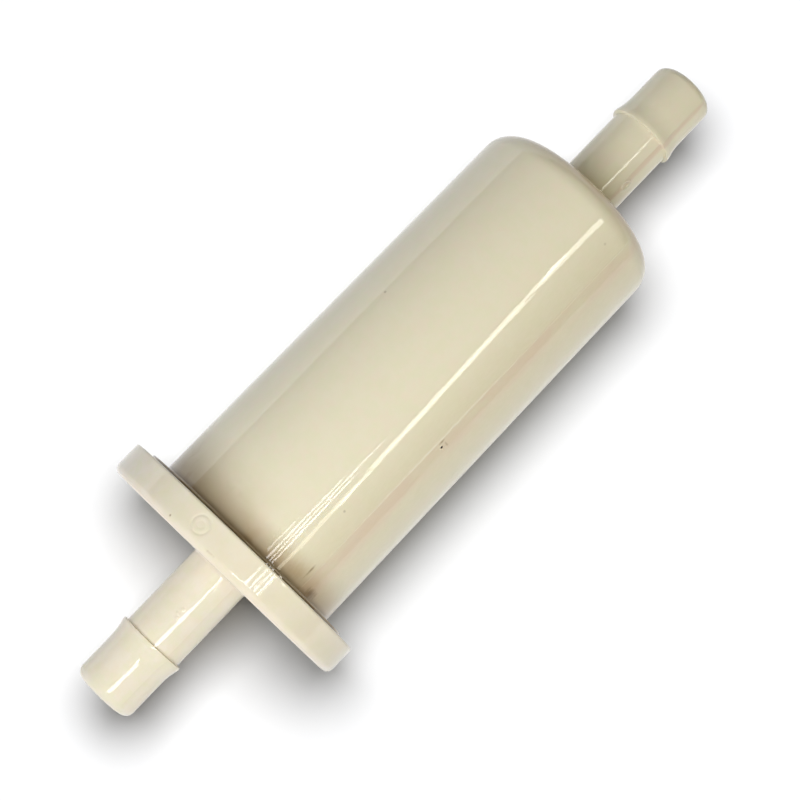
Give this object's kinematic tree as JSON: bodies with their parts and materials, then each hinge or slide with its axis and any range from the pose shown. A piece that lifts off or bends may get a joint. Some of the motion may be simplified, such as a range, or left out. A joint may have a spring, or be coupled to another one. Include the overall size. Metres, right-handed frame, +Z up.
{
  "type": "fuel filter",
  "caption": "Inline marine fuel filter: a drafted nylon bowl closed by a wide disc cover, hose nipples at both ends, and a spring-seated pleated paper element inside.",
  "frame": {"origin": "on the filter's axis, half way between the tips of its two hose nipples", "axes": "+X along the axis in the direction of flow, from the cover's nipple to the bowl's; +Z up as the filter lies on its side"},
  "size_m": [0.1226, 0.042, 0.042],
  "materials": {
    "housing_nylon": "glossy ivory moulded nylon, slightly translucent, with fine handling scratches",
    "weld_flash": "remelted nylon, browned by the weld",
    "element_nylon": "satin natural nylon",
    "filter_paper": "resin-treated corrugated filter paper",
    "potting_adhesive": "cured reddish-brown adhesive with a soft shine",
    "seat_rubber": "matt black nitrile rubber",
    "spring_steel": "drawn stainless spring wire",
    "clip_steel": "tin-plated strip, crimped"
  },
  "bodies": {
    "housing": {"filter_bowl": "housing_nylon", "inlet_cover": "housing_nylon", "weld_bead": "weld_flash", "element_spring": "spring_steel"},
    "element": {"inlet_end_disc": "element_nylon", "outlet_end_disc": "element_nylon", "seat_gasket": "seat_rubber", "core_tube": "element_nylon", "inlet_potting": "potting_adhesive", "outlet_potting": "potting_adhesive", "pleated_media": "filter_paper", "seam_clip": "clip_steel"}
  },
  "joints": [
    {"name": "element_float", "type": "slide", "parent": "housing", "child": "element", "axis": [-1, 0, 0], "range_m": [0, 0.0015], "stiffness_N_per_m": 800, "springref_m": -0.002, "deforming": ["element_spring"]}
  ]
}
